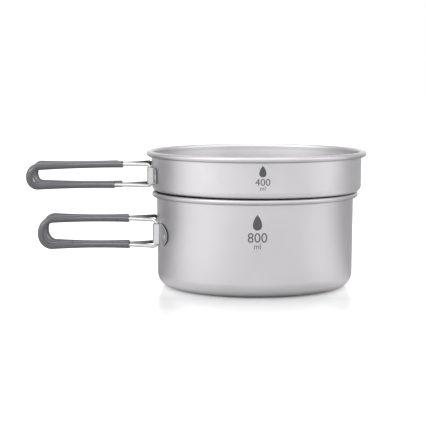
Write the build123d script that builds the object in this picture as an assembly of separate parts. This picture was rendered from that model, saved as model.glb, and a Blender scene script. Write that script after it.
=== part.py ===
from build123d import *
from dataclasses import dataclass
from math import cos, degrees, radians, sin, tan
import os

# A two-piece titanium camp cook set: a deep pot with a shallow pan resting on its rim.
# Each vessel has a stamped bracket spot-welded to its wall. Two ridges in the bracket trap
# the legs of two wire loops, which swing out to -X as a handle and fold back around the
# wall. Each loop wears a silicone sleeve.
# Millimetres, +Z up. The origin is the centre of the pot's flat base, on the surface
# it stands on. The handles point to -X, and the front loops are the ones on the -Y side.

SHEET = 0.5              # wall thickness of both vessels
CURL_SWEEP = 290         # how far the rolled rim turns, degrees
WIRE_R = 1.15            # radius of the handle wire
CORNER_BEND_R = 1.4      # bend radius where a leg turns into the sloping neck
NECK_BEND_R = 2.4        # bend radius where the neck turns into the arm
SLEEVE_R = 2.25          # outer radius of the silicone sleeve
SLEEVE_GAP = 0.03        # between the wire and the sleeve's bore
LEG_GAP = 0.5            # between the two wire ends that meet inside the ridge
PLATE = 0.7              # thickness of the bracket's sheet
PIVOT_CLEARANCE = 0.1    # radial play of a leg in its ridge
RIDGE_DEPTH = 3.0        # how far a ridge reaches from the leg's axis towards the wall
RIDGE_FOOT_X = -0.95     # where its sloping sides end, just inside the plate
RIDGE_CREST_HALF = 1.95  # half width of its flat crest
RIDGE_CORNER_R = 0.7     # rounding along the crest
BRACKET_BAND = 12.0      # half height of the solids the bracket is cut from, taller than it
WELD_R = 1.6             # radius of a spot weld
WELD_RISE = 0.15         # how far a spot weld stands above the bracket
REST_GAP = 0.15          # between the pan's rounded corner and the pot's rolled rim
PAN_SHIFT = 0.95         # the loose pan rests this far off the pot's axis, towards +X
STAMP_REACH = 80.0       # outline extrusions start on the centre plane and pass the wall


@dataclass
class Vessel:
    name: str
    base_z: float          # underside of the flat base
    curl_z: float          # centre height of the rolled rim
    base_r: float          # outer radius where the wall leaves the bottom corner
    wall_r: float          # outer radius just under the rim
    corner_r: float        # outer radius of the corner between base and wall
    curl_r: float          # outer radius of the rolled rim's tube
    grip_z: float          # mid-height of the handle
    pivot_r: float         # distance of the leg axes from the vessel's axis
    pivot_angle: float     # angle of each leg axis from -X, degrees
    ridge_half: float      # half height of the bracket's ridges
    ridge_crest: float     # distance of a ridge's crest from the leg's axis
    ridge_foot: float      # half width of a ridge where it meets the plate
    leg_corner: float      # height above grip_z where the leg turns into the sloping neck
    neck_angle: float      # slope of the neck, degrees
    arm_near: float        # height of the arm above grip_z at its near end
    arm_far: float         # height of the arm above grip_z at its far end
    heading: float         # plan angle of the loop from -X towards the centre plane, degrees
    arm_length: float      # arc length of the arm
    bend_r: float          # plan radius of the arm, close to the wall's, so that it folds flat
    end_r: float           # bend radius of the loop's far end
    droop: float           # how far the loops hang down by their play in the ridges, degrees
    weld_y: float          # distance of the wing's spot weld from the centre plane
    weld_drop: float       # how far that weld lies below grip_z

    def curl_centre_r(self):
        return self.wall_r - SHEET + self.curl_r

    def wall_at(self, z):
        """Outer radius of the slightly tapered wall at height z."""
        start = self.base_z + self.corner_r
        return self.base_r + (self.wall_r - self.base_r) * (z - start) / (self.curl_z - start)


POT = Vessel(
    name="pot", base_z=0.0, curl_z=61.3, base_r=64.65, wall_r=65.3, corner_r=9.0, curl_r=1.8,
    grip_z=35.9, pivot_r=66.4, pivot_angle=12.5, ridge_half=6.4, ridge_crest=2.5,
    ridge_foot=4.2, leg_corner=7.05, neck_angle=38.0, arm_near=8.75, arm_far=8.75,
    heading=32.24, arm_length=69.65, bend_r=65.95, end_r=8.3, droop=0.0, weld_y=27.0,
    weld_drop=1.0,
)


def pan_base_z(pan_flat_r, pan_corner_r):
    """Height at which the pan's rounded corner rests just above the pot's rolled rim."""
    across = POT.curl_centre_r() - pan_flat_r - PAN_SHIFT
    reach = pan_corner_r + POT.curl_r + REST_GAP
    return POT.curl_z + (reach ** 2 - across ** 2) ** 0.5 - pan_corner_r


PAN_BASE_R = 69.45
PAN_CORNER_R = 4.05
PAN_BASE_Z = pan_base_z(PAN_BASE_R - PAN_CORNER_R, PAN_CORNER_R)
PAN = Vessel(
    name="pan", base_z=PAN_BASE_Z, curl_z=PAN_BASE_Z + 24.85, base_r=PAN_BASE_R, wall_r=69.7,
    corner_r=PAN_CORNER_R, curl_r=1.9, grip_z=PAN_BASE_Z + 10.95, pivot_r=70.95,
    pivot_angle=10.2, ridge_half=5.2, ridge_crest=2.1, ridge_foot=5.4, leg_corner=5.8,
    neck_angle=38.0, arm_near=7.0, arm_far=6.4, heading=29.13, arm_length=75.7, bend_r=69.65,
    end_r=6.2, droop=0.65, weld_y=21.5, weld_drop=0.6,
)

POT_WEB_HALF_WIDTH = 17.0
POT_WING = (10.0, 7.35)        # half width and half height of each rounded wing
POT_WING_CENTRE = 21.5         # distance of a wing's centre from the centre plane
PAN_PLATE_WIDTH = 49.2
PAN_PLATE_CORNER_R = 2.2

# How much bare wire each arm shows before its sleeve starts, upper and lower arm.
BARE_WIRE = {
    ("pot", "front"): (18.1, 17.8),
    ("pot", "rear"): (18.9, 18.4),
    ("pan", "front"): (17.9, 23.8),
    ("pan", "rear"): (21.7, 19.1),
}


def direction(plan_angle, slope=0.0):
    """Unit vector at a plan angle from +X and a slope above the horizontal, degrees."""
    level = cos(radians(slope))
    plan = radians(plan_angle)
    return Vector(level * cos(plan), level * sin(plan), sin(radians(slope)))


def bend(start, way_in, way_out, radius):
    """Tangent arc from one straight direction into another. Returns the arc and its end."""
    half_turn = radians(way_in.get_angle(way_out)) / 2
    reach = radius * tan(half_turn)
    end = start + way_in * reach + way_out * reach
    return TangentArc(start, end, tangent=way_in), end


# ---- vessel bodies ----

def vessel_section(v):
    """Half section of a drawn sheet vessel: flat base, round corner, wall and open curl."""
    flat_r = v.base_r - v.corner_r
    corner_z = v.base_z + v.corner_r
    curl = Vector(v.curl_centre_r(), v.curl_z)
    inner_curl_r = v.curl_r - SHEET
    last = radians(180 - CURL_SWEEP)
    middle = radians(180 - CURL_SWEEP / 2)
    edge = Vector(cos(last), sin(last))
    crown = Vector(cos(middle), sin(middle))
    with BuildSketch(Plane.XZ) as section:
        with BuildLine():
            inner_base = Line((0, v.base_z + SHEET), (flat_r, v.base_z + SHEET))
            inner_corner = JernArc(inner_base @ 1, (1, 0), v.corner_r - SHEET, 90)
            Line(inner_corner @ 1, (v.wall_r - SHEET, v.curl_z))
            ThreePointArc((v.wall_r - SHEET, v.curl_z), curl + crown * v.curl_r, curl + edge * v.curl_r)
            Line(curl + edge * v.curl_r, curl + edge * inner_curl_r)
            ThreePointArc(curl + edge * inner_curl_r, curl + crown * inner_curl_r, (v.wall_r, v.curl_z))
            Line((v.wall_r, v.curl_z), (v.base_r, corner_z))
            outer_base = Line((flat_r, v.base_z), (0, v.base_z))
            JernArc(outer_base @ 0, (1, 0), v.corner_r, 90)
            Line((0, v.base_z), (0, v.base_z + SHEET))
        make_face()
    return section.sketch


def vessel_body(v):
    return revolve(vessel_section(v), Axis.Z, 360)


# ---- brackets ----

def wall_cone(v, offset, half_height):
    """Solid cone that follows the vessel's outer wall, offset outwards."""
    low = v.grip_z - half_height
    high = v.grip_z + half_height
    with BuildPart() as cone:
        with Locations((0, 0, low)):
            Cone(v.wall_at(low) + offset, v.wall_at(high) + offset, high - low,
                 align=(Align.CENTER, Align.CENTER, Align.MIN))
    return cone.part


def leg_plane(v, side):
    """Plane across one leg axis, its x direction pointing away from the wall."""
    outward = direction(180 + side * v.pivot_angle)
    return Plane(outward * v.pivot_r + Vector(0, 0, v.grip_z), x_dir=outward, z_dir=(0, 0, 1))


def ridge(v, side):
    """Flat-crested ridge that slopes down to the plate on both sides of one leg."""
    corners = [
        (-RIDGE_DEPTH, v.ridge_foot),
        (-RIDGE_DEPTH, -v.ridge_foot),
        (RIDGE_FOOT_X, -v.ridge_foot),
        (v.ridge_crest, -RIDGE_CREST_HALF),
        (v.ridge_crest, RIDGE_CREST_HALF),
        (RIDGE_FOOT_X, v.ridge_foot),
    ]
    outline = Polygon(*corners, align=None)
    crest_corners = outline.vertices().sort_by(Axis.X)[-2:]
    outline = fillet(crest_corners, RIDGE_CORNER_R)
    return extrude(leg_plane(v, side) * outline, amount=v.ridge_half, both=True)


def leg_slot(v, side):
    """Round-bottomed slot that one leg turns in, open towards the wall."""
    radius = WIRE_R + PIVOT_CLEARANCE
    outline = Circle(radius) + Pos(-RIDGE_DEPTH / 2, 0) * Rectangle(RIDGE_DEPTH, 2 * radius)
    return extrude(leg_plane(v, side) * outline, amount=BRACKET_BAND, both=True)


def pot_wing_outline():
    """Bracket outline seen along X: a low web with two rounded wings."""
    with BuildSketch() as outline:
        Rectangle(2 * POT_WEB_HALF_WIDTH, 2 * POT.ridge_half)
        with Locations((POT_WING_CENTRE, 0), (-POT_WING_CENTRE, 0)):
            Ellipse(*POT_WING)
    return outline.sketch


def pan_wing_outline():
    """Bracket outline seen along X: one plain rounded rectangle."""
    with BuildSketch() as outline:
        RectangleRounded(PAN_PLATE_WIDTH, 2 * PAN.ridge_half, PAN_PLATE_CORNER_R)
    return outline.sketch


def bracket(v, outline):
    """One stamped plate that follows the wall, with a ridge over each leg."""
    inner = wall_cone(v, 0.0, BRACKET_BAND)
    front_view = Plane((0, 0, v.grip_z), x_dir=(0, -1, 0), z_dir=(-1, 0, 0))
    stamp = extrude(front_view * outline, amount=STAMP_REACH)
    plate = (wall_cone(v, PLATE, BRACKET_BAND) - inner) & stamp
    for side in (1, -1):
        plate = plate + (ridge(v, side) - inner)
    for side in (1, -1):
        plate = plate - leg_slot(v, side)
    return plate


def wing_weld(v, side):
    """Shallow spot-weld button on one wing of the bracket."""
    band = 6.0
    centre = (0, -side * v.weld_y, v.grip_z - v.weld_drop)
    front_view = Plane(centre, x_dir=(0, -1, 0), z_dir=(-1, 0, 0))
    button = extrude(front_view * Circle(WELD_R), amount=STAMP_REACH)
    return (wall_cone(v, PLATE + WELD_RISE, band) - wall_cone(v, PLATE, band)) & button


# ---- handle loops ----

def pivot_point(v):
    """Middle of the front leg's axis."""
    return direction(180 + v.pivot_angle) * v.pivot_r + Vector(0, 0, v.grip_z)


class LoopPath:
    """Centre line of the upper half of a front loop, from the ridge to the middle of the tip."""

    def __init__(self, v):
        self.radius = v.bend_r
        self.length = v.arm_length
        self.arm_in, self.arm_left = self.arm_frame(v)
        up = Vector(0, 0, 1)
        neck_way = direction(180 - v.heading, v.neck_angle)

        foot = pivot_point(v) + up * LEG_GAP / 2
        corner = pivot_point(v) + up * v.leg_corner
        leg_top = corner - up * CORNER_BEND_R * tan(radians(90 - v.neck_angle) / 2)
        self.leg = Line(foot, leg_top)
        self.leg_bend, neck_start = bend(leg_top, up, neck_way, CORNER_BEND_R)

        neck_length = (v.arm_near - v.leg_corner) / sin(radians(v.neck_angle))
        neck_bend_reach = NECK_BEND_R * tan(radians(neck_way.get_angle(self.arm_in)) / 2)
        neck_end = corner + neck_way * (neck_length - neck_bend_reach)
        self.neck = Line(neck_start, neck_end)
        self.neck_bend, self.arm_start = bend(neck_end, neck_way, self.arm_in, NECK_BEND_R)

        arm_end, arm_out = self.arm_point(v.arm_length)
        self.tip_bend, tip_start = bend(arm_end, arm_out, -up, v.end_r)
        self.tip = Line(tip_start, Vector(tip_start.X, tip_start.Y, v.grip_z))

    def arm_frame(self, v):
        """Direction of the arm at its near end, and the direction it bends towards."""
        half_turn = v.arm_length / v.bend_r / 2
        rise = (v.arm_far - v.arm_near) / v.arm_length
        mid_way = direction(180 - v.heading + degrees(half_turn))
        left = mid_way.rotate(Axis.Z, 90)
        chord = (mid_way + Vector(0, 0, rise)).normalized()
        arm_in = chord * cos(half_turn) - left * sin(half_turn)
        arm_left = left * cos(half_turn) + chord * sin(half_turn)
        return arm_in, arm_left

    def arm_point(self, along):
        """Point and direction on the arm at an arc length from its near end."""
        turn = along / self.radius
        offset = self.arm_in * sin(turn) + self.arm_left * (1 - cos(turn))
        way = self.arm_in * cos(turn) + self.arm_left * sin(turn)
        return self.arm_start + offset * self.radius, way

    def arm(self, start):
        first, way = self.arm_point(start)
        last, _ = self.arm_point(self.length)
        return TangentArc(first, last, tangent=way)

    def wire(self):
        near_end = [self.leg, self.leg_bend, self.neck, self.neck_bend]
        return Wire(near_end + [self.arm(0), self.tip_bend, self.tip])

    def sleeve(self, bare):
        return Wire([self.arm(bare), self.tip_bend, self.tip])


def tube(path, radius):
    """Round bar swept along a path of straight runs and tangent arcs."""
    section = Plane(origin=path @ 0, z_dir=path % 0) * Circle(radius)
    return sweep(section, path=path)


def to_lower_half(solid, v):
    return mirror(solid, about=Plane((0, 0, v.grip_z)))


def front_loop(v):
    upper = tube(LoopPath(v).wire(), WIRE_R)
    return upper + to_lower_half(upper, v)


def half_sleeve(v, bare):
    path = LoopPath(v).sleeve(bare)
    return tube(path, SLEEVE_R) - tube(path, WIRE_R + SLEEVE_GAP)


def front_sleeve(v, bare):
    upper_bare, lower_bare = bare
    return half_sleeve(v, upper_bare) + to_lower_half(half_sleeve(v, lower_bare), v)


def let_droop(solid, v):
    """Tilts a front loop or its sleeve down at the far end, about the middle of its leg."""
    return solid.rotate(Axis(pivot_point(v), (0, 1, 0)), -v.droop)


def handle_nodes(v):
    """Wire loops and sleeves of one vessel. The rear ones mirror the front ones."""
    nodes = {}
    for place in ("front", "rear"):
        loop = let_droop(front_loop(v), v)
        sleeve = let_droop(front_sleeve(v, BARE_WIRE[(v.name, place)]), v)
        if place == "rear":
            loop = mirror(loop, about=Plane.XZ)
            sleeve = mirror(sleeve, about=Plane.XZ)
        nodes[f"{v.name}_{place}_loop"] = loop
        nodes[f"{v.name}_{place}_sleeve"] = sleeve
    return nodes


def vessel_nodes(v, outline, shift):
    """One vessel with everything fastened to it, moved along X by shift."""
    nodes = {
        f"{v.name}_body": vessel_body(v),
        f"{v.name}_bracket": bracket(v, outline),
        f"{v.name}_front_weld": wing_weld(v, 1),
        f"{v.name}_rear_weld": wing_weld(v, -1),
        **handle_nodes(v),
    }
    return {name: Pos(shift, 0, 0) * shape for name, shape in nodes.items()}


def all_nodes():
    return {
        **vessel_nodes(POT, pot_wing_outline(), 0.0),
        **vessel_nodes(PAN, pan_wing_outline(), PAN_SHIFT),
    }


os.makedirs("parts", exist_ok=True)
for node_name, node_shape in all_nodes().items():
    export_step(node_shape, f"parts/{node_name}.step")
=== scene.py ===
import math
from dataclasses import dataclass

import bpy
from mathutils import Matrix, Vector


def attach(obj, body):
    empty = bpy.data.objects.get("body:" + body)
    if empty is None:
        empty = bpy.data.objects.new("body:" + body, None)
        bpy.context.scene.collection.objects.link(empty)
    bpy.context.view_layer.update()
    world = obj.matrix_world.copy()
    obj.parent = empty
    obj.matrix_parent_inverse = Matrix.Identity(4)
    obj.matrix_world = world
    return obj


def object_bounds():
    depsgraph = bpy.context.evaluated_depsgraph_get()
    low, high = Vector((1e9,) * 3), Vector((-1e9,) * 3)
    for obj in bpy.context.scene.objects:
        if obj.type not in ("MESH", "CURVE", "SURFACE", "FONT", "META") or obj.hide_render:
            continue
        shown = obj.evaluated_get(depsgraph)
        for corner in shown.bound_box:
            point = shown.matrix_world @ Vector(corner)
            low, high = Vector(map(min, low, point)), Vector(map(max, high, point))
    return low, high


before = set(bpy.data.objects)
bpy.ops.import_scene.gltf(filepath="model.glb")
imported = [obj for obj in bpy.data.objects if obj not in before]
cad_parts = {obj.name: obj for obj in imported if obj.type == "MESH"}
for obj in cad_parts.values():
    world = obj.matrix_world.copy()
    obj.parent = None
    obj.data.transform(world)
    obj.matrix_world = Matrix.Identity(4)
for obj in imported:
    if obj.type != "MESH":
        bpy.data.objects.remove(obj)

# A titanium camp cook set: a pot, a pan on its rim, and on each a folding handle of two wire
# loops in silicone sleeves. The CAD nodes keep their shapes. This script gives them their
# materials, adds the etched marks, and sets a plain white studio.
# Metres, +Z up, handles to -X, camera at -Y.

CAD_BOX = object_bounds()
MM = 0.001
WALL_TURN_R = 67 * MM       # turns a distance along a wall into an angle
RAY_START = 100 * MM        # a distance from the axis that is outside both walls
ETCH_BED = 0.05 * MM        # how deep the marks are set into the wall
ETCH_RISE = 0.06 * MM       # how far the marks stand out of the wall
DROP_HALF_WIDTH = 3.0 * MM  # sizes of the marks on the pot
NUMBER_WIDTH = 12.6 * MM
UNIT_WIDTH = 4.4 * MM
SCREEN_LEVEL = 1.22         # brightness of the surround
FLOOR_LEVEL = 0.60          # tone of the floor that the metal reflects
FLOOR_HALF = 4.0            # half width of the floors
GREY_FLOOR_DROP = 0.5 * MM  # how far the reflected floor lies under the white one


@dataclass
class Vessel:
    """What the materials and marks need to know about the pot or the pan."""

    body: str
    axis_x: float          # where the vessel's axis stands
    rim_z: float           # centre height of the rolled rim
    grip_z: float          # mid-height of the bracket
    face_r: float          # outer radius of the bracket's flat parts
    hinge_x: float         # where the wires meet the bracket
    wing: tuple            # centre, half width and half height of a wing, and its squareness
    tint: float            # scales the tone of the sheet
    crown_shade: float          # strength of the dull line on the rim's crown
    painted_edge_tone: float    # strength of the painted shade on the top of the rim, where the pan rests on it
    mark_turn: float       # tone of the painted shade on the bracket's sheared edges
    mark_size: float       # size of the marks against those on the pot
    number: str            # capacity in millilitres
    drop_z: float          # height of the middle of the drop's round end
    number_z: float        # height of the foot of the number
    unit_z: float          # height of the foot of the unit


VESSELS = (
    Vessel(
        body="pot", axis_x=0.0, rim_z=61.3 * MM, grip_z=35.9 * MM, face_r=65.75 * MM,
        hinge_x=-64.8 * MM, wing=(21.5 * MM, 10.0 * MM, 7.35 * MM, 2.0), tint=1.0, crown_shade=0.7,
        painted_edge_tone=0.03, mark_turn=0.0, mark_size=1.0, number="800",
        drop_z=46.6 * MM, number_z=36.0 * MM, unit_z=31.8 * MM,
    ),
    Vessel(
        body="pan", axis_x=0.95 * MM, rim_z=88.1 * MM, grip_z=74.2 * MM, face_r=70.3 * MM,
        hinge_x=-68.9 * MM, wing=(17.6 * MM, 7.0 * MM, 5.2 * MM, 6.0), tint=1.06, crown_shade=0.0,
        painted_edge_tone=0.11, mark_turn=math.radians(1.8), mark_size=0.72, number="400",
        drop_z=79.6 * MM, number_z=72.2 * MM, unit_z=69.2 * MM,
    ),
)


# ---------------------------------------------------------------- node helpers

class Shader:
    """A Principled material with short calls for the procedural nodes used below."""

    def __init__(self, name):
        self.material = bpy.data.materials.new(name)
        self.material.use_nodes = True
        self.nodes = self.material.node_tree.nodes
        self.links = self.material.node_tree.links
        self.surface = self.nodes["Principled BSDF"]
        coords = self.nodes.new("ShaderNodeTexCoord")
        self.place = coords.outputs["Object"]
        self.normal = coords.outputs["Normal"]

    def plug(self, value, socket):
        if isinstance(value, bpy.types.NodeSocket):
            self.links.new(value, socket)
        else:
            socket.default_value = value

    def set(self, **values):
        for name, value in values.items():
            self.plug(value, self.surface.inputs[name.replace("_", " ")])

    def math(self, operation, a, b=0.0):
        node = self.nodes.new("ShaderNodeMath")
        node.operation = operation
        self.plug(a, node.inputs[0])
        self.plug(b, node.inputs[1])
        return node.outputs[0]

    def length(self, a, b):
        squares = self.math("ADD", self.math("MULTIPLY", a, a), self.math("MULTIPLY", b, b))
        return self.math("SQRT", squares)

    def split(self, vector):
        node = self.nodes.new("ShaderNodeSeparateXYZ")
        self.plug(vector, node.inputs[0])
        return node.outputs

    def join(self, x, y, z):
        node = self.nodes.new("ShaderNodeCombineXYZ")
        for value, socket in zip((x, y, z), node.inputs):
            self.plug(value, socket)
        return node.outputs[0]

    def noise(self, vector, scale, detail=2.0, roughness=0.5):
        node = self.nodes.new("ShaderNodeTexNoise")
        self.plug(vector, node.inputs["Vector"])
        node.inputs["Scale"].default_value = scale
        node.inputs["Detail"].default_value = detail
        node.inputs["Roughness"].default_value = roughness
        return node.outputs["Fac"]

    def span(self, value, low, high, from_low=0.0, from_high=1.0):
        """Maps value from one range to another, clamped."""
        node = self.nodes.new("ShaderNodeMapRange")
        self.plug(value, node.inputs["Value"])
        node.inputs["From Min"].default_value = from_low
        node.inputs["From Max"].default_value = from_high
        node.inputs["To Min"].default_value = low
        node.inputs["To Max"].default_value = high
        return node.outputs["Result"]

    def ramp(self, value, stops):
        """Grey tone by value, straight between (position, tone) stops."""
        node = self.nodes.new("ShaderNodeFloatCurve")
        curve = node.mapping.curves[0]
        for index, (position, tone) in enumerate(stops):
            if index in (0, len(stops) - 1):
                point = curve.points[0 if index == 0 else -1]
                point.location = (position, tone)
            else:
                point = curve.points.new(position, tone)
            point.handle_type = "VECTOR"
        node.mapping.extend = "HORIZONTAL"
        node.mapping.clip_max_y = 2.0
        node.mapping.update()
        self.plug(value, node.inputs["Value"])
        return node.outputs[0]

    def blend(self, factor, first, second):
        """Mixes two colours."""
        node = self.nodes.new("ShaderNodeMix")
        node.data_type = "RGBA"
        self.plug(factor, node.inputs[0])
        self.plug(first, node.inputs[6])
        self.plug(second, node.inputs[7])
        return node.outputs[2]

    def bump(self, height, distance, strength=1.0, below=None):
        node = self.nodes.new("ShaderNodeBump")
        node.inputs["Distance"].default_value = distance
        node.inputs["Strength"].default_value = strength
        self.plug(height, node.inputs["Height"])
        if below is not None:
            self.links.new(below, node.inputs["Normal"])
        return node.outputs["Normal"]


def grey(red, green, blue):
    return (red, green, blue, 1.0)


# ---------------------------------------------------------------- materials

class Blasted:
    """The look shared by the shells and brackets: blasted grain, faint spun lines, cloudy tone.

    Keeps the radius, side, height and normal of each point for tones that follow the shape.
    """

    def __init__(self, shader, axis_x, light, dark, roughness, spun):
        x, y, z = shader.split(shader.place)
        x = shader.math("SUBTRACT", x, axis_x)
        self.radius = shader.length(x, y)
        self.side = y
        self.height = z
        self.nx, ny, self.nz = shader.split(shader.normal)
        out_x = shader.math("MULTIPLY", self.nx, x)
        out_y = shader.math("MULTIPLY", ny, y)
        self.outward = shader.math("DIVIDE", shader.math("ADD", out_x, out_y), self.radius)

        turn = shader.math("MULTIPLY", shader.math("ARCTAN2", y, x), 0.004)
        lines = shader.noise(shader.join(turn, self.radius, z), 2600.0, 3.0, 0.6)
        clouds = shader.noise(shader.place, 26.0, 3.0, 0.55)
        grain = shader.noise(shader.place, 3800.0, 2.0, 0.7)

        cloud_part = shader.math("MULTIPLY", clouds, 0.7)
        line_part = shader.math("MULTIPLY", lines, 0.3)
        tone = shader.math("ADD", cloud_part, line_part)
        self.colour = shader.blend(shader.span(tone, 0.0, 1.0, 0.3, 0.7), dark, light)
        cloudy = shader.span(clouds, roughness - 0.03, roughness + 0.03, 0.3, 0.7)
        lined = shader.span(lines, -0.02, 0.02, 0.3, 0.7)
        self.roughness = shader.math("ADD", cloudy, lined)
        spun_bump = shader.bump(lines, 0.004 * MM, spun)
        self.bumps = shader.bump(grain, 0.006 * MM, 0.6, below=spun_bump)


def shell_metal(vessel):
    """Titanium sheet: painted light makes the inner wall paler near the rim; painted shade darkens
    the rolled rim, its underside, and the top of the pot's rim where the pan rests.
    """
    shader = Shader(vessel.body + "_shell")
    rim_z, tint = vessel.rim_z, vessel.tint
    light = grey(0.70 * tint, 0.685 * tint, 0.70 * tint)
    dark = grey(0.645 * tint, 0.63 * tint, 0.65 * tint)
    look = Blasted(shader, vessel.axis_x, light, dark, 0.33, 0.5)

    # Painted light: the inner wall is painted paler near the rim and darker deeper down, standing
    # in for the light that falls into the vessel.
    facing_in = shader.span(look.outward, 1.0, 0.0, -0.8, -0.2)
    near_rim = shader.span(look.height, 0.15, 1.0, rim_z - 8 * MM, rim_z - 2 * MM)
    off_ends = shader.span(shader.math("ABSOLUTE", look.nx), 1.0, 0.0, 0.5, 0.95)
    painted_inner_light = shader.math("MULTIPLY", shader.math("MULTIPLY", facing_in, near_rim), off_ends)
    at_rim = shader.span(look.height, 0.0, 1.0, rim_z - 2.6 * MM, rim_z - 1.6 * MM)
    # Painted shade: the underside of the rolled rim is darkened where shade falls under it.
    painted_shade_under_rim = shader.math("MULTIPLY", at_rim, shader.span(look.nz, 1.0, 0.0, -0.95, -0.25))
    # Painted shade: on the pot the top of the rolled rim is darkened where the pan rests on it and
    # shades it.
    painted_shade_on_crown = shader.math("MULTIPLY", at_rim, shader.span(look.nz, 0.0, vessel.crown_shade, 0.62, 0.9))

    colour = shader.blend(painted_inner_light, look.colour, grey(0.81, 0.795, 0.81))
    # Painted shade: the whole rolled rim is darkened to dim the highlights it reflects.
    colour = shader.blend(shader.math("MULTIPLY", at_rim, 0.22), colour, grey(0.3, 0.3, 0.31))
    colour = shader.blend(painted_shade_on_crown, colour, grey(0.12, 0.12, 0.125))
    shader.set(
        Base_Color=shader.blend(shader.math("MULTIPLY", painted_shade_under_rim, 0.6), colour, grey(0.2, 0.2, 0.21)),
        Metallic=1.0,
        Roughness=shader.math("ADD", look.roughness, shader.math("MULTIPLY", painted_inner_light, 0.04)),
        Normal=look.bumps,
    )
    return shader.material


def painted_edge_highlight(shader, look, vessel):
    """How far each point lies in the painted highlight line along a wing's outline, 0 to 1."""
    centre, half_width, half_height, power = vessel.wing
    across = shader.math("SUBTRACT", shader.math("ABSOLUTE", look.side), centre)
    across = shader.math("MAXIMUM", shader.math("DIVIDE", across, half_width), 0.0)
    up = shader.math("DIVIDE", shader.math("SUBTRACT", look.height, vessel.grip_z), half_height)
    up = shader.math("ABSOLUTE", up)
    across, up = shader.math("POWER", across, power), shader.math("POWER", up, power)
    powers = shader.math("ADD", across, up)
    return shader.span(shader.math("POWER", powers, 1.0 / power), 0.0, 1.0, 0.9, 0.94)


def plate_metal(vessel):
    """Stamped bracket: worn bright over the ridges, dented wings, painted shade on the sheared
    edges, and a painted highlight line along each wing's outline.
    """
    shader = Shader(vessel.body + "_plate")
    light, dark = grey(0.66, 0.66, 0.68), grey(0.54, 0.54, 0.56)
    look = Blasted(shader, vessel.axis_x, light, dark, 0.36, 0.3)
    dents = shader.noise(shader.place, 520.0, 2.0, 0.5)
    mottle = shader.noise(shader.place, 1500.0, 2.0, 0.6)

    face_r = vessel.face_r
    ridge = shader.span(look.radius, 0.0, 1.0, face_r + 0.02 * MM, face_r + 0.15 * MM)
    # Painted shade: the sheared edge faces and end faces are darkened to stand in for the shadow
    # gap between plate and wall.
    edge_shade = shader.span(shader.math("ABSOLUTE", look.outward), 1.0, 0.0, 0.6, 0.85)
    edge_shade = shader.math("MULTIPLY", edge_shade, shader.math("SUBTRACT", 1.0, ridge))
    end_shade = shader.span(shader.math("ABSOLUTE", look.nz), 0.0, 1.0, 0.6, 0.9)

    spots = shader.span(mottle, 0.0, 0.35, 0.35, 0.65)
    ridge_tone = shader.blend(mottle, grey(0.56, 0.555, 0.57), grey(0.68, 0.67, 0.69))
    edge_shade_colour = grey(vessel.painted_edge_tone, vessel.painted_edge_tone, vessel.painted_edge_tone)
    colour = shader.blend(spots, look.colour, grey(0.4, 0.4, 0.42))
    # Painted highlight: a pale line along each wing's outline stands in for the light caught by its
    # rounded edge.
    colour = shader.blend(painted_edge_highlight(shader, look, vessel), colour, grey(0.86, 0.85, 0.87))
    colour = shader.blend(ridge, colour, ridge_tone)
    colour = shader.blend(shader.math("MAXIMUM", edge_shade, end_shade), colour, edge_shade_colour)
    shader.set(
        Base_Color=colour,
        Metallic=1.0,
        Roughness=look.roughness,
        Normal=shader.bump(dents, 0.05 * MM, 0.5, below=look.bumps),
    )
    return shader.material


def polished_wire(name, hinge_x, hinge_shade):
    """Bright drawn wire with a few dull handling marks, and painted shade darkening it towards the
    hinge.
    """
    shader = Shader(name)
    x = shader.split(shader.place)[0]
    smears = shader.noise(shader.place, 420.0, 3.0, 0.6)
    scratches = shader.noise(shader.place, 5200.0, 2.0, 0.7)
    smeared = shader.span(smears, 0.0, 1.0, 0.35, 0.7)
    bright = shader.blend(smeared, grey(0.54, 0.53, 0.53), grey(0.64, 0.63, 0.63))
    # Painted shade: the wire is darkened towards the hinge, where it sits in shade and reflects the
    # pot's shaded side.
    near = shader.span(x, 0.0, hinge_shade, hinge_x - 20 * MM, hinge_x - 4 * MM)
    shader.set(
        Base_Color=shader.blend(near, bright, grey(0.06, 0.055, 0.055)),
        Metallic=1.0,
        Roughness=shader.span(smears, 0.16, 0.26, 0.3, 0.7),
        Normal=shader.bump(scratches, 0.003 * MM, 0.5),
    )
    return shader.material


def weld_metal():
    """Spot weld: slightly straw-tinted metal with a fine pitted face."""
    shader = Shader("weld_metal")
    pits = shader.noise(shader.place, 1600.0, 3.0, 0.7)
    shader.set(
        Base_Color=shader.blend(pits, grey(0.7, 0.68, 0.67), grey(0.85, 0.83, 0.82)),
        Metallic=1.0,
        Roughness=shader.span(pits, 0.28, 0.42),
        Normal=shader.bump(pits, 0.03 * MM, 0.8),
    )
    return shader.material


def silicone():
    """Moulded grey silicone: soft low gloss, a dusty bloom, and a fine skin texture."""
    shader = Shader("silicone")
    bloom = shader.noise(shader.place, 160.0, 4.0, 0.6)
    skin = shader.noise(shader.place, 2400.0, 2.0, 0.6)
    dusty = shader.span(bloom, 0.0, 1.0, 0.3, 0.7)
    shader.set(
        Base_Color=shader.blend(dusty, grey(0.078, 0.075, 0.086), grey(0.088, 0.085, 0.097)),
        Roughness=shader.span(bloom, 0.27, 0.30, 0.3, 0.7),
        Specular_IOR_Level=0.5,
        Sheen_Weight=0.1,
        Sheen_Roughness=0.5,
        Normal=shader.bump(skin, 0.008 * MM, 0.5),
    )
    return shader.material


def etched_grey():
    """Dark laser-etched oxide with an uneven tone."""
    shader = Shader("etched_grey")
    mottle = shader.noise(shader.place, 1400.0, 3.0, 0.6)
    shader.set(
        Base_Color=shader.blend(mottle, grey(0.07, 0.07, 0.078), grey(0.12, 0.12, 0.13)),
        Roughness=0.6,
        Specular_IOR_Level=0.3,
    )
    return shader.material


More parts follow.
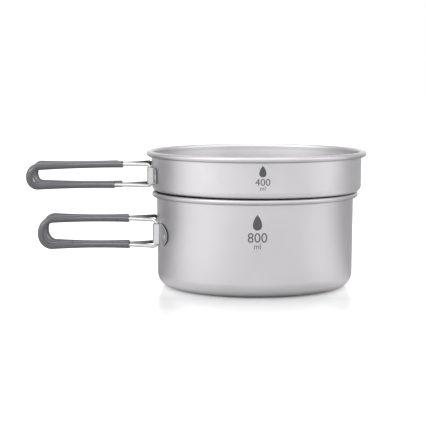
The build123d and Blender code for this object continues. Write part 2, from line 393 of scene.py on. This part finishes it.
def paint_node(name, material):
    """Gives a CAD node its material in every slot."""
    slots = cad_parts[name].data.materials
    if not slots:
        slots.append(material)
    for index in range(len(slots)):
        slots[index] = material


def paint_nodes():
    weld = weld_metal()
    sleeve = silicone()
    for vessel in VESSELS:
        body = vessel.body
        paint_node(body + "_body", shell_metal(vessel))
        paint_node(body + "_bracket", plate_metal(vessel))
        # The second value is how strongly painted shade darkens each wire towards the hinge.
        for side, hinge_shade in (("front", 0.0), ("rear", 0.92)):
            wire = polished_wire(body + "_" + side + "_wire", vessel.hinge_x, hinge_shade)
            paint_node(body + "_" + side + "_weld", weld)
            paint_node(body + "_" + side + "_loop", wire)
            paint_node(body + "_" + side + "_sleeve", sleeve)


# ---------------------------------------------------------------- etched marks

def wall_point(vessel, across, height, out):
    """Point on the outside of a wall, `across` from its marks' middle, and moved out by `out`."""
    turn = vessel.mark_turn + across / WALL_TURN_R
    away = Vector((math.sin(turn), -math.cos(turn), 0.0))
    start = Vector((vessel.axis_x, 0.0, height)) + away * RAY_START
    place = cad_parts[vessel.body + "_body"].ray_cast(start, -away)[1]
    return place + away * out


def wrap_on_wall(name, points, faces, vessel, height, material):
    """Makes a thin solid from flat (across, up, out) points and lays it on a vessel's wall."""
    placed = [wall_point(vessel, across, height + up, out) for across, up, out in points]
    mesh = bpy.data.meshes.new(name)
    mesh.from_pydata(placed, [], faces)
    mesh.materials.append(material)
    piece = bpy.data.objects.new(name, mesh)
    bpy.context.scene.collection.objects.link(piece)
    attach(piece, vessel.body)


def drop_solid(half_width):
    """Plain water drop, its round end down, as a thin solid built in rings round its round end."""
    steps, rings, tip = 40, 5, 2.3
    points = []
    for out in (-ETCH_BED, ETCH_RISE):
        for ring in range(1, rings + 1):
            reach = half_width * ring / rings
            for index in range(steps):
                turn = 2 * math.pi * index / steps
                lift = math.cos(turn)
                pinch = 1.0 if lift < 0 else (1.0 - lift) ** 0.5 * (1.0 + 0.45 * lift)
                stretch = 1.0 if lift < 0 else tip
                points.append((reach * math.sin(turn) * pinch, reach * stretch * lift, out))
    middle = len(points)
    points += [(0.0, 0.0, -ETCH_BED), (0.0, 0.0, ETCH_RISE)]
    front = steps * rings
    rim = steps * (rings - 1)
    faces = []
    for index in range(steps):
        after = (index + 1) % steps
        faces += [(after, index, middle), (front + index, front + after, middle + 1)]
        faces.append((rim + index, rim + after, front + rim + after, front + rim + index))
        for near in range(0, rim, steps):
            far = near + steps
            back_face = (near + index, near + after, far + after, far + index)
            front_face = (near + after, near + index, far + index, far + after)
            faces += [back_face, tuple(front + corner for corner in front_face)]
    return points, faces


def lettering_solid(text, width):
    """Plain lettering as a thin solid, centred on 0 and `width` wide."""
    curve = bpy.data.curves.new("lettering", "FONT")
    curve.body = text
    curve.align_x = "CENTER"
    curve.extrude = 0.5
    curve.resolution_u = 6
    sign = bpy.data.objects.new("lettering", curve)
    bpy.context.scene.collection.objects.link(sign)
    bpy.context.view_layer.update()
    evaluated = sign.evaluated_get(bpy.context.evaluated_depsgraph_get())
    mesh = bpy.data.meshes.new_from_object(evaluated)
    across = [vertex.co.x for vertex in mesh.vertices]
    scale = width / (max(across) - min(across))
    points = [
        (vertex.co.x * scale, vertex.co.y * scale, ETCH_RISE if vertex.co.z > 0 else -ETCH_BED)
        for vertex in mesh.vertices
    ]
    faces = [tuple(polygon.vertices) for polygon in mesh.polygons]
    bpy.data.objects.remove(sign)
    bpy.data.curves.remove(curve)
    bpy.data.meshes.remove(mesh)
    return points, faces


def add_marks():
    """A plain drop over the capacity, etched on the front of each wall."""
    material = etched_grey()
    for vessel in VESSELS:
        size = vessel.mark_size
        for name, solid, height in (
            ("drop", drop_solid(DROP_HALF_WIDTH * size), vessel.drop_z),
            ("number", lettering_solid(vessel.number, NUMBER_WIDTH * size), vessel.number_z),
            ("unit", lettering_solid("ml", UNIT_WIDTH * size), vessel.unit_z),
        ):
            wrap_on_wall(vessel.body + "_" + name + "_mark", *solid, vessel, height, material)


# ---------------------------------------------------------------- studio

# What the metal sees round the set, by azimuth in degrees: 0 is the camera's side, + is its right.
SURROUND = (
    (-180, 1.0), (-160, 0.86), (-142, 0.58), (-124, 0.42), (-106, 0.60), (-90, 0.98),
    (-74, 1.30), (-50, 1.24), (-20, 1.04), (10, 0.95), (45, 0.98), (70, 1.18),
    (86, 1.16), (100, 0.84), (116, 0.54), (135, 0.56), (158, 0.78), (180, 1.0),
)

# Soft boxes that face the set: name, azimuth and elevation in degrees, distance, width and
# height, watts, and whether the metal reflects them.
LIGHTS = (
    ("left_box", -50, 40, 1.3, (0.6, 0.6), 1.2, True),
    ("sleeve_strip", -10, 38, 1.3, (1.3, 0.16), 10.0, True),
    ("rear_left_box", -118, 35, 1.3, (0.9, 0.9), 2.0, False),
    ("rear_right_box", 118, 35, 1.3, (0.9, 0.9), 2.0, False),
    ("top_box", 0, 72, 1.4, (1.6, 1.6), 5.0, True),
)


def azimuth(shader):
    """Azimuth round the set as 0 to 1, with 0.5 on the camera's side."""
    x, y = shader.split(shader.place)[:2]
    turn = shader.math("ARCTAN2", x, shader.math("MULTIPLY", y, -1.0))
    return shader.span(turn, 0.0, 1.0, -math.pi, math.pi)


def surround_tone(shader, scale):
    stops = [((degrees + 180) / 360, tone * scale) for degrees, tone in SURROUND]
    return shader.ramp(azimuth(shader), stops)


def screen_material():
    shader = Shader("surround_screen")
    shader.set(Base_Color=grey(0, 0, 0), Roughness=1.0, Specular_IOR_Level=0.0,
               Emission_Color=surround_tone(shader, SCREEN_LEVEL), Emission_Strength=1.0)
    return shader.material


def white_paper():
    """Glossy white that glows a little behind the set and far from it, to stay white there."""
    shader = Shader("white_paper")
    x, y = shader.split(shader.place)[:2]
    behind = shader.span(y, 0.0, 1.0, -0.06, -0.02)
    away = shader.span(shader.length(x, y), 0.0, 1.0, 0.11, 0.17)
    glow = shader.math("MAXIMUM", behind, away)
    shader.set(
        Base_Color=grey(0.97, 0.97, 0.975),
        Emission_Color=shader.blend(glow, grey(0.02, 0.02, 0.02), grey(0.3, 0.3, 0.3)),
        Emission_Strength=1.0,
        Roughness=0.16,
        Specular_IOR_Level=0.5,
    )
    return shader.material


def grey_paper():
    """Floor tone of the reflections, a little paler close to the pot."""
    shader = Shader("grey_paper")
    x, y = shader.split(shader.place)[:2]
    close = shader.span(shader.length(x, y), 1.12, 0.96, 0.1, 0.4)
    tone = shader.math("MULTIPLY", surround_tone(shader, FLOOR_LEVEL), close)
    shader.set(Base_Color=tone, Roughness=1.0, Specular_IOR_Level=0.0)
    return shader.material


def add_stage_mesh(name, points, faces, material):
    mesh = bpy.data.meshes.new(name)
    mesh.from_pydata(points, [], faces)
    mesh.materials.append(material)
    piece = bpy.data.objects.new(name, mesh)
    bpy.context.scene.collection.objects.link(piece)
    return piece


def add_plane(name, height, material):
    signs = ((-1, -1), (1, -1), (1, 1), (-1, 1))
    corners = [(x * FLOOR_HALF, y * FLOOR_HALF, height) for x, y in signs]
    return add_stage_mesh(name, corners, [(0, 1, 2, 3)], material)


def add_floor():
    """White floor for the camera, and just under it a greyer one for lights and reflections."""
    white = add_plane("white_floor", 0.0, white_paper())
    white.visible_glossy = False
    white.visible_diffuse = False
    white.visible_shadow = False
    grey_floor = add_plane("grey_floor", -GREY_FLOOR_DROP, grey_paper())
    grey_floor.visible_camera = False


def add_surround():
    """Round screen that only the metal's reflections see, darker towards the back of both sides."""
    steps, radius, height = 48, 2.0, 2.4
    points = []
    for index in range(steps):
        turn = 2 * math.pi * index / steps
        x, y = radius * math.cos(turn), radius * math.sin(turn)
        points += [(x, y, 0.0), (x, y, height)]
    count = len(points)
    faces = [(i, (i + 2) % count, (i + 3) % count, i + 1) for i in range(0, count, 2)]
    screen = add_stage_mesh("surround", points, faces, screen_material())
    screen.visible_camera = False
    screen.visible_diffuse = False
    screen.visible_shadow = False


def add_area_light(name, bearing, elevation, distance, size, watts, in_metal):
    middle = (CAD_BOX[0] + CAD_BOX[1]) / 2
    turn = math.radians(bearing)
    lift = math.radians(elevation)
    level = math.cos(lift)
    away = Vector((math.sin(turn) * level, -math.cos(turn) * level, math.sin(lift)))
    data = bpy.data.lights.new(name, "AREA")
    data.shape = "RECTANGLE"
    data.size, data.size_y = size
    data.energy = watts
    light = bpy.data.objects.new(name, data)
    light.location = middle + away * distance
    light.rotation_euler = (-away).to_track_quat("-Z", "Y").to_euler()
    light.visible_camera = False
    light.visible_glossy = in_metal
    bpy.context.scene.collection.objects.link(light)
    return light


def light_only_sleeves(light):
    """Keeps a light to the grip sleeves, so that its streak doesn't burn out the metal."""
    lit = bpy.data.collections.new("sleeves")
    for name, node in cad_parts.items():
        if name.endswith("_sleeve"):
            lit.objects.link(node)
    light.light_linking.receiver_collection = lit


def add_world():
    world = bpy.data.worlds.new("studio")
    world.use_nodes = True
    background = world.node_tree.nodes["Background"]
    background.inputs["Color"].default_value = grey(1.0, 1.0, 1.0)
    background.inputs["Strength"].default_value = 1.0
    bpy.context.scene.world = world


def add_camera():
    """Long lens a little above the rim and slightly left of the pot's axis."""
    data = bpy.data.cameras.new("camera")
    data.sensor_width = 36.0
    data.lens = 132.66
    camera = bpy.data.objects.new("camera", data)
    camera.location = (-0.02785, -1.0415, 0.1570)
    camera.rotation_euler = (math.radians(90 - 5.98), 0.0, 0.0)
    bpy.context.scene.collection.objects.link(camera)
    bpy.context.scene.camera = camera


def add_studio():
    add_floor()
    add_surround()
    add_world()
    for row in LIGHTS:
        light = add_area_light(*row)
        if light.name == "sleeve_strip":
            light_only_sleeves(light)
    bpy.context.scene.view_settings.view_transform = "Standard"


paint_nodes()
add_marks()
add_studio()
add_camera()
